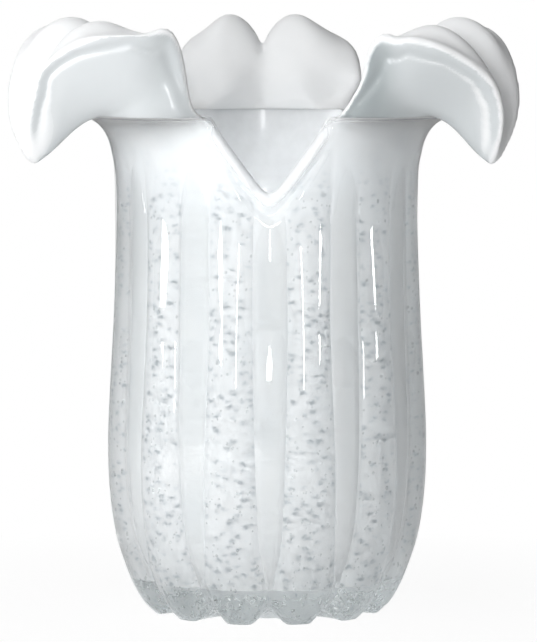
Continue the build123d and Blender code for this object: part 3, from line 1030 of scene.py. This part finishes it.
@dataclass
class Studio:
    """Pale floor, white surroundings, softboxes and the camera of the photograph."""

    camera_place: tuple[float, float, float] = (-0.0386, -1.6996, 0.255)
    camera_aim: tuple[float, float, float] = (0.0008, 0.0, 0.1158)
    lens: float = 239.1
    sensor: float = 36.0
    left_glow: float = 0.27
    right_glow: float = 0.13
    left_flag: float = 0.08
    right_flag: float = 0.08

    def build(self) -> None:
        """Sets up the floor, the world, the lamps and the camera."""
        self.floor()
        self.world()
        self.lamps()
        self.camera()

    def floor(self) -> None:
        """A wide white floor that keeps a soft shadow, with a painted shadow under the vase for rays seen through the
        glass.
        """
        material, tree = new_material("white_studio_floor")
        path = add_node(tree, "ShaderNodeLightPath")
        place = add_node(tree, "ShaderNodeTexCoord")
        away = add_node(tree, "ShaderNodeVectorMath", {}, {0: place.outputs["Object"]}, operation="LENGTH")
        plain = add_node(tree, "ShaderNodeMapRange", {"From Min": 0.09, "From Max": 0.25, "To Min": 0.92},
                         {"Value": away.outputs["Value"]})
        # Painted shadow: under the vase the floor glows only at 0.6 for rays seen through the glass.
        under = add_node(tree, "ShaderNodeMapRange", {"From Min": 0.045, "From Max": 0.13, "To Min": 0.60},
                         {"Value": away.outputs["Value"]})
        direct = add_node(tree, "ShaderNodeMath", {}, {0: path.outputs["Is Camera Ray"], 1: plain.outputs[0]},
                          operation="MULTIPLY")
        share = add_node(tree, "ShaderNodeMath", {}, {0: direct.outputs[0],
                                                    1: path.outputs["Is Transmission Ray"]}, operation="MAXIMUM")
        strength = add_node(tree, "ShaderNodeMix", {2: 1.0},
                            {0: path.outputs["Is Transmission Ray"], 3: under.outputs[0]})
        matt = add_node(tree, "ShaderNodeBsdfDiffuse", {"Color": linear("FFFFFF")})
        bright = add_node(tree, "ShaderNodeEmission", {"Color": linear("FFFFFF")}, {"Strength": strength.outputs[0]})
        mix = add_node(tree, "ShaderNodeMixShader", {}, {0: share.outputs[0], 1: matt.outputs[0], 2: bright.outputs[0]})
        add_node(tree, "ShaderNodeOutputMaterial", {}, {"Surface": mix.outputs[0]})
        mesh = bmesh.new()
        bmesh.ops.create_grid(mesh, x_segments=1, y_segments=1, size=6.0)
        bmesh.ops.translate(mesh, verts=mesh.verts, vec=(0, 0, -0.0002))
        data = bpy.data.meshes.new("studio_floor")
        mesh.to_mesh(data)
        mesh.free()
        data.materials.append(material)
        floor = bpy.data.objects.new("studio_floor", data)
        bpy.context.scene.collection.objects.link(floor)

    def world(self) -> None:
        """White surroundings for the camera and the glass, and a softer glow for matt surfaces."""
        world = bpy.data.worlds.new("white_surroundings")
        bpy.context.scene.world = world
        world.use_nodes = True
        tree = world.node_tree
        tree.nodes.clear()
        path = add_node(tree, "ShaderNodeLightPath")
        place = add_node(tree, "ShaderNodeTexCoord")
        way = add_node(tree, "ShaderNodeSeparateXYZ", {}, {0: place.outputs["Generated"]})
        glow = add_node(tree, "ShaderNodeMapRange",
                        {"From Min": -1.0, "From Max": 1.0, "To Min": self.left_glow, "To Max": self.right_glow},
                        {"Value": way.outputs["X"]})
        left = add_node(tree, "ShaderNodeMapRange", {"From Min": -0.75, "From Max": -0.25, "To Min": self.left_flag},
                        {"Value": way.outputs["X"]})
        right = add_node(tree, "ShaderNodeMapRange",
                         {"From Min": 0.05, "From Max": 0.42, "To Min": 1.0, "To Max": self.right_flag},
                         {"Value": way.outputs["X"]})
        flags = add_node(tree, "ShaderNodeMath", {}, {0: left.outputs[0], 1: right.outputs[0]},
                         operation="MINIMUM")
        bent = add_node(tree, "ShaderNodeMath", {}, {0: path.outputs["Is Glossy Ray"],
                                                   1: path.outputs["Is Transmission Ray"]}, operation="MAXIMUM")
        lit = add_node(tree, "ShaderNodeMix", {}, {0: bent.outputs[0], 2: glow.outputs[0], 3: flags.outputs[0]})
        strength = add_node(tree, "ShaderNodeMix", {3: 1.0}, {0: path.outputs["Is Camera Ray"], 2: lit.outputs[0]})
        white = add_node(tree, "ShaderNodeBackground", {"Color": linear("FFFFFF")}, {"Strength": strength.outputs[0]})
        add_node(tree, "ShaderNodeOutputWorld", {}, {"Surface": white.outputs[0]})

    def lamps(self) -> None:
        """Tall softboxes: the key from the left, a strip beside the camera and a weak fill."""
        for name, azimuth, distance, height, width, tall, power, mirrored in (
            ("key_softbox", -25.0, 0.80, 0.34, 0.40, 0.45, 4.2, False),
            ("top_left_softbox", -45.0, 0.60, 1.00, 0.60, 0.60, 4.1, False),
            ("front_strip", 1.0, 2.20, 0.245, 0.16, 0.27, 2.4, True),
            ("left_window", -60.0, 1.15, 0.235, 0.50, 0.23, 5.2, True),
            ("right_window", 60.0, 1.15, 0.155, 0.14, 0.08, 1.0, True),
        ):
            turn = radians(azimuth - 90.0)
            place = Vector((distance * cos(turn), distance * sin(turn), height))
            aim = Vector((0.0, 0.0, height if mirrored else 0.12))
            light = bpy.data.lights.new(name, "AREA")
            light.shape = "RECTANGLE"
            light.size, light.size_y = width, tall
            light.energy = power
            lamp = bpy.data.objects.new(name, light)
            lamp.location = place
            lamp.rotation_euler = (aim - place).to_track_quat("-Z", "Y").to_euler()
            lamp.visible_camera = False
            lamp.visible_diffuse = not mirrored
            lamp.visible_glossy = mirrored
            lamp.visible_transmission = False
            bpy.context.scene.collection.objects.link(lamp)

    def camera(self) -> None:
        """A long lens level with the rim, turned down to the middle of the vase."""
        data = bpy.data.cameras.new("photo_camera")
        data.sensor_fit = "VERTICAL"
        data.sensor_height = self.sensor
        data.lens = self.lens
        data.clip_end = 50.0
        camera = bpy.data.objects.new("photo_camera", data)
        camera.location = self.camera_place
        aim = Vector(self.camera_aim) - Vector(self.camera_place)
        camera.rotation_euler = aim.to_track_quat("-Z", "Y").to_euler()
        bpy.context.scene.collection.objects.link(camera)
        bpy.context.scene.camera = camera


def add_milk_attributes(piece: bpy.types.Object, form: VaseForm, finish: BubbledGlass) -> None:
    """Stores where the bubbles are: in the lobes, and thinner towards the two sides of the vase.

    Args:
        piece: The bubbled piece.
        form: The form of the vase.
        finish: The finish that reads the attributes.
    """
    lobes, sides = [], []
    for vert in piece.data.vertices:
        height = vert.co.z / MILLIMETRE
        azimuth = degrees(atan2(vert.co.y, vert.co.x))
        across = abs((azimuth + 90.0 + form.half_pitch) % (2 * form.half_pitch) - form.half_pitch)
        half = form.rib_half_angle(height)
        lobes.append(ease(across, half - 0.6, half + 0.8) * (1 - 0.75 * ease(height, 160.0, 184.0)))
        sides.append(ease(abs(cos(radians(azimuth))), 0.93, 0.99))
    for name, values in ((finish.lobe_attribute, lobes), (finish.clear_attribute, sides)):
        piece.data.attributes.new(name, "FLOAT", "POINT").data.foreach_set("value", values)


def add_frost_attribute(piece: bpy.types.Object, form: VaseForm, name: str) -> None:
    """Stores how far the frost of the petals runs down the clear wall, from 0 to 1.

    Args:
        piece: The piece that gets the attribute.
        form: The form of the vase.
        name: The attribute's name.
    """
    attribute = piece.data.attributes.new(name, "FLOAT", "POINT")
    values = []
    for vert in piece.data.vertices:
        place = vert.co / MILLIMETRE
        azimuth = degrees(atan2(place.y, place.x))
        radius = hypot(place.x, place.y)
        inside = 1 - ease(radius, form.neck_radius - 6.0, form.neck_radius - 3.0)
        run = 2.5
        seat = form.seat_share(azimuth)
        film = 0.75 * inside * ease(place.z, 150.0, 178.0)
        lip = 0.75 * (1 - ease(form.rim_height(azimuth) - place.z, 3.5, 6.5)) * (1 - seat)
        values.append(max(ease(place.z, form.seat_height - run, form.seat_height + 1.0) * seat, film, lip))
    attribute.data.foreach_set("value", values)


def main() -> None:
    """Builds the vase piece by piece, then the studio."""
    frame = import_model()
    log.info("packed nodes: %s", sorted(frame["nodes"]))
    bpy.context.scene.view_settings.view_transform = "Standard"
    form = VaseForm()
    clear = FirePolishedGlass()
    rib_skin = RibGlass().material()
    bubbled = BubbledGlass()
    milk = bubbled.material()

    casing = OuterCasing(form, "casing", outer_depth=0.0, inner_depth=10.0, neck_outer_depth=0.0,
                         neck_inner_radius=54.0, bottom=0.0, floor=20.5, lip=4.0, follows_lobes=True)
    piece = finish_piece("casing_glass", casing.shape(), clear.material(),
                         ["outer_casing", "base_gather"])
    add_frost_attribute(piece, form, clear.frost_attribute)

    liner = GlassWall(form, "liner", outer_depth=3.2, inner_depth=9.6, neck_outer_depth=1.2,
                      neck_inner_radius=54.4, bottom=15.0, floor=20.1, lip=2.0, follows_lobes=True,
                      rim_margin=0.8, corner=11.6)
    piece = finish_piece("bubbled_liner", liner.shape(), milk, ["bubble_liner"])
    add_milk_attributes(piece, form, bubbled)

    for number in range(form.lobe_count):
        rib = ClearRib(form, number)
        finish_piece(f"clear_rib_{number + 1:02d}", rib.shape(), rib_skin, [f"rib_{number + 1:02d}"])

    finish_piece("trapped_bubbles", TrappedBubbles(form).shape(), AirBubble().material(), [],
                 sharp=180.0)

    frosted = FrostedGlass()
    frost = frosted.material()
    # The right petal, away from the key lamp, gets the strongest darker patch and painted shade over its hull.
    for petal in (
        Petal("petal_left", 210.0, swing=6.0, front_side=1, horn=5.0, crest_fall=6.0, rim_spread=11.0,
              groove_place=3.8, thin_frost_and_shade=0.3),
        Petal("petal_right", 330.0, swing=5.0, front_side=-1, horn=2.5, rim_fall=4.0, rim_spread=2.0, edge_shift=5.0, thin_frost_and_shade=1.0, shade=0.5),
        Petal("petal_back", 90.0, end_fall=9.0, flare=5.0, bowl_smoothing=90),
    ):
        piece = finish_piece("frosted_" + petal.node, petal.shape(), frost, [petal.node],
                             sharp=55.0)
        petal.mark(piece, frosted)

    Studio().build()


if __name__ == "__main__":
    logging.basicConfig(level=logging.INFO, format="%(name)s: %(message)s")
    main()
